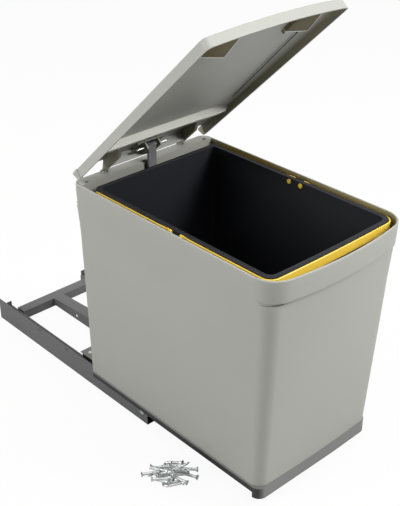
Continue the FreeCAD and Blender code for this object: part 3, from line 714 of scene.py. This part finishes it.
def makeHandle(s, spec, name):
    mesh = bmesh.new()
    addStrap(mesh, s, spec)
    for side in (-1, 1):
        addEye(mesh, s, spec, side)
    piece = addPiece(name, mesh, "handleYellow", spec["body"])
    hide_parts(spec["node"])


makeHandle(handleSetup, handleSetup["front"], "frontStrap")
makeHandle(handleSetup, handleSetup["rear"], "rearStrap")
print("shell, bucket and handles made")

# Lid details, placed in the closed lid and then turned open with it; a drop is under the lid's inner face
lidSetup = {
    "hinge": (-97.0, 391.4), "open": 43.2, "underside": 404.2, "sink": 0.3,
    "padDrop": 5.5, "padEdge": 0.6,
    "leftPad": ((-105.0, -457.0), (-51.2, -452.0), (-41.2, -402.6), (-102.0, -430.0)),
    "rightPad": ((45.9, -456.9), (92.0, -459.4), (107.0, -408.4), (48.1, -429.5)),
    "lineWidth": 1.5, "lineDrop": 5.8, "lineEdge": 0.2,
    "ridge": ((92.5, -404.0), (112.5, -212.0)), "ridgeWidth": 2.8, "ridgeDrop": 2.4, "ridgeEdge": 0.3,
    "ridgeLineShift": -2.3, "ridgeLineWidth": 0.9, "ridgeLineDrop": 2.0,
    # Profiles run through points of y and z
    "rib": ((-184.0, 404.4), (-184.0, 393.4), (-183.6, 392.9),
            (-182.6, 392.8), (-162.0, 396.9), (-162.0, 404.4)),
    "ribEnd": ((-184.0, 404.4), (-184.0, 397.9), (-183.6, 397.4),
               (-182.6, 397.3), (-162.0, 397.3), (-162.0, 404.4)),
    "ribHalf": (111.0, 118.6),
    "tail": ((-106.5, 404.4), (-96.5, 404.2), (-94.0, 403.0), (-93.3, 401.6),
             (-97.2, 392.6), (-99.0, 390.2), (-100.6, 389.6), (-106.5, 389.5)),
    "tailSpan": (120.6, 123.3),
}


def openTurn(s):
    # Turn about the hinge, from closed to open
    y, z = (v * mm for v in s["hinge"])
    swing = Matrix.Rotation(-math.radians(s["open"]), 4, "X")
    return Matrix.Translation((0, y, z)) @ swing @ Matrix.Translation((0, -y, -z))


turn = openTurn(lidSetup)


def slab(corners, z0, z1, edge):
    # Flat pad with softened lower edges; corners run round it, z0 is its low face
    cornerReach = 1.4  # a corner moves in by about this many times the inset of its sides
    bend = 0.3 * edge  # the softened edge bends here
    cx = sum(x for x, y in corners) / len(corners)
    cy = sum(y for x, y in corners) / len(corners)

    def ring(inset, z):
        points = []
        for x, y in corners:
            d = math.hypot(x - cx, y - cy)
            k = (d - inset * cornerReach) / d
            points.append(turn @ Vector(((cx + (x - cx) * k) * mm, (cy + (y - cy) * k) * mm, z * mm)))
        return points
    return [ring(edge, z0), ring(bend, z0 + bend), ring(0, z0 + edge), ring(0, z1)]


def bar(a, b, width):
    # Corners of a narrow strip from a to b
    size = math.hypot(b[0] - a[0], b[1] - a[1])
    nx, ny = -(b[1] - a[1]) / size * width / 2, (b[0] - a[0]) / size * width / 2
    return [(a[0] - nx, a[1] - ny), (b[0] - nx, b[1] - ny), (b[0] + nx, b[1] + ny), (a[0] + nx, a[1] + ny)]


def across(profiles):
    # One profile of (y, z) points at each x, turned open with the lid
    return [[turn @ Vector((x * mm, y * mm, z * mm)) for y, z in points] for x, points in profiles]


def makeLidDetails(s):
    under = s["underside"]

    def plate(corners, drop, edge):
        return slab(corners, under - drop, under + s["sink"], edge)

    def strip(side, shift, width, drop, edge):
        ends = [(side * (x + shift), y) for x, y in s["ridge"]]
        return plate(bar(*ends, width), drop, edge)

    def trim(name, finish, *solids):
        addPiece(name, meshOf(*solids), finish, "lid")

    for name in ("leftPad", "rightPad"):
        pad = s[name]
        # The pads' dark olive-brown is painted shade
        trim(name, "padShadeBrown", plate(pad, s["padDrop"], s["padEdge"]))
        lines = [bar(a, b, s["lineWidth"]) for a, b in ((pad[1], pad[2]), (pad[2], pad[3]))]
        # Thin light strips along two pad edges are painted highlights
        trim(name + "Edge", "paintedLightGrey", *(plate(line, s["lineDrop"], s["lineEdge"]) for line in lines))
    for side, name in ((-1, "leftRidge"), (1, "rightRidge")):
        ridge = strip(side, 0, s["ridgeWidth"], s["ridgeDrop"], s["ridgeEdge"])
        line = strip(side, s["ridgeLineShift"], s["ridgeLineWidth"], s["ridgeLineDrop"], s["lineEdge"])
        # The ridge takes the bucket's black as painted shade, and the light line beside it is a painted
        # highlight
        trim(name, "bucketBlack", ridge)
        trim(name + "Line", "paintedLightGrey", line)
    inner, outer = s["ribHalf"]
    middle = [(x, s["rib"]) for x in (-inner, -inner / 2, 0, inner / 2, inner)]
    # The cross rib is lid plastic, coloured lighter as painted light on its lit face
    trim("crossRib", "paintedLightGrey", across([(-outer, s["ribEnd"])] + middle + [(outer, s["ribEnd"])]))
    for side, name in ((-1, "leftTail"), (1, "rightTail")):
        x0, x1 = (side * x for x in s["tailSpan"])
        trim(name, "lidGrey", across([(x, s["tail"]) for x in (x0, (x0 + x1) / 2, x1)]))


makeLidDetails(lidSetup)
print("lid details made")

# Loose screws: threaded and countersunk, with a cross recess, dropped in a natural pile
screwSetup = {
    "length": 30.0, "headR": 4.2, "neckR": 2.2, "coreR": 1.95, "threadR": 2.4, "pitch": 1.8,
    "recess": 0.6, "recessReach": 2.4, "depth": 1.5, "depthShare": 0.55,
    "headEdge": 0.25, "headFlare": 0.2, "headFoot": 2.5, "neckFoot": 3.4,
    "threadFrom": 4.0, "threadSteps": 64, "threadSharp": 5, "tip": 5.0, "tipShare": 0.06,
    # A screw that finds no free place is left out, so fewer lie there than are tried
    "tried": 27, "seed": 14,
    "pile": (-155.0, -335.0), "spread": (38.0, 24.0), "spreadTurn": -42.0, "headingSpread": 38.0,
    "innerFrom": 15, "innerShare": 0.70,  # the later screws fall nearer the middle
    "leans": (-6.0, -3.0, -9.0, 1.0, -13.0, 5.0), "liftStep": 0.5, "lifts": 40,
    "headGap": 0.1, "tipR": 2.15, "tipReach": 0.83, "headRest": 4.0, "headLean": 3, "floorGap": 0.45,
    # Balls that stand for a screw while it looks for a place: how far along it, and their radius
    "headBalls": ((1.0, 3.1), (3.0, 2.2)), "shankBall": 1.95, "ballFrom": 5, "ballStep": 2, "ballEnd": 2,
}


def screwRings(s):
    # Cross corners give twelve uneven turns that every ring shares
    a, b = s["recess"], s["recessReach"]
    cross = [(b, a), (a, a), (a, b), (-a, b), (-a, a), (-b, a),
             (-b, -a), (-a, -a), (-a, -b), (a, -b), (a, -a), (b, -a)]
    turns = [math.atan2(y, x) for x, y in cross]

    def circle(r, z):
        return [Vector((r * math.cos(t), r * math.sin(t), z)) for t in turns]

    deep = s["depthShare"]
    rings = [
        [Vector((x * deep, y * deep, s["depth"])) for x, y in cross],
        [Vector((x, y, 0)) for x, y in cross],
        circle(s["headR"] - s["headEdge"], 0),
        circle(s["headR"], s["headEdge"]),
        circle(s["neckR"] + s["headFlare"], s["headFoot"]),
        circle(s["neckR"], s["neckFoot"]),
    ]
    for z in levels(s["threadFrom"], s["length"], s["threadSteps"]):
        taper = min(1.0, (s["length"] - z) / s["tip"] + s["tipShare"])
        ring = []
        for t in turns:
            phase = (z / s["pitch"] - t / math.tau) % 1.0
            ridge = max(0.0, 1 - abs(phase - 0.5) * s["threadSharp"])
            r = (s["coreR"] + (s["threadR"] - s["coreR"]) * ridge) * taper
            ring.append(Vector((r * math.cos(t), r * math.sin(t), z)))
        rings.append(ring)
    return rings


def settleScrew(s, centre, heading, samples, placed):
    # Lowest free place: every lean is tried at one lift before the next lift
    for step in range(s["lifts"]):
        for lean in s["leans"]:
            tilt = math.radians(lean)
            axis = Vector((math.cos(heading) * math.cos(tilt),
                           math.sin(heading) * math.cos(tilt), math.sin(tilt)))
            lowHead = (s["headR"] + s["headGap"]) * math.cos(tilt)
            lowTip = s["tipR"] + max(0.0, -axis.z) * s["length"] * s["tipReach"]
            headZ = max(lowHead, lowTip, s["headRest"] - axis.z * s["headLean"]) + step * s["liftStep"]
            head = Vector((centre.x, centre.y, headZ)) - Vector((axis.x, axis.y, 0)) * s["length"] / 2
            balls = [(head + axis * k, r) for k, r in samples]
            clear = all(ball.z - r > s["floorGap"] for ball, r in balls)
            if clear and all((ball - other).length > r + q for ball, r in balls for other, q in placed):
                return head, axis, balls
    return None


def makeScrewPile(s):
    random.seed(s["seed"])
    shank = range(s["ballFrom"], int(s["length"]) - s["ballEnd"], s["ballStep"])
    samples = [*s["headBalls"], *((k, s["shankBall"]) for k in shank)]
    swing = Matrix.Rotation(math.radians(s["spreadTurn"]), 3, "Z")
    base = screwRings(s)
    placed = []
    mesh = bmesh.new()
    for index in range(s["tried"]):
        far = math.sqrt(random.random()) * (s["innerShare"] if index >= s["innerFrom"] else 1.0)
        around = random.uniform(0, math.tau)
        wide, deep = s["spread"]
        centre = swing @ Vector((wide * far * math.cos(around), deep * far * math.sin(around), 0))
        centre += Vector((*s["pile"], 0))
        # Most screws lie along the long side of the pile, either way round
        turned = s["spreadTurn"] + random.uniform(-1, 1) * s["headingSpread"] + random.choice((0, 180))
        spin = random.uniform(0, math.tau)
        place = settleScrew(s, centre, math.radians(turned), samples, placed)
        if place is None:
            continue
        head, axis, balls = place
        placed += balls
        pose = axis.to_track_quat("Z", "Y").to_matrix() @ Matrix.Rotation(spin, 3, "Z")
        addSolid(mesh, [[(head + pose @ p) * mm for p in ring] for ring in base])
    piece = addPiece("screwPile", mesh, "zincSteel", "frame", sharp=30)
    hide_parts("fixing_screws")
    print("screws placed", len(placed) // len(samples))


makeScrewPile(screwSetup)
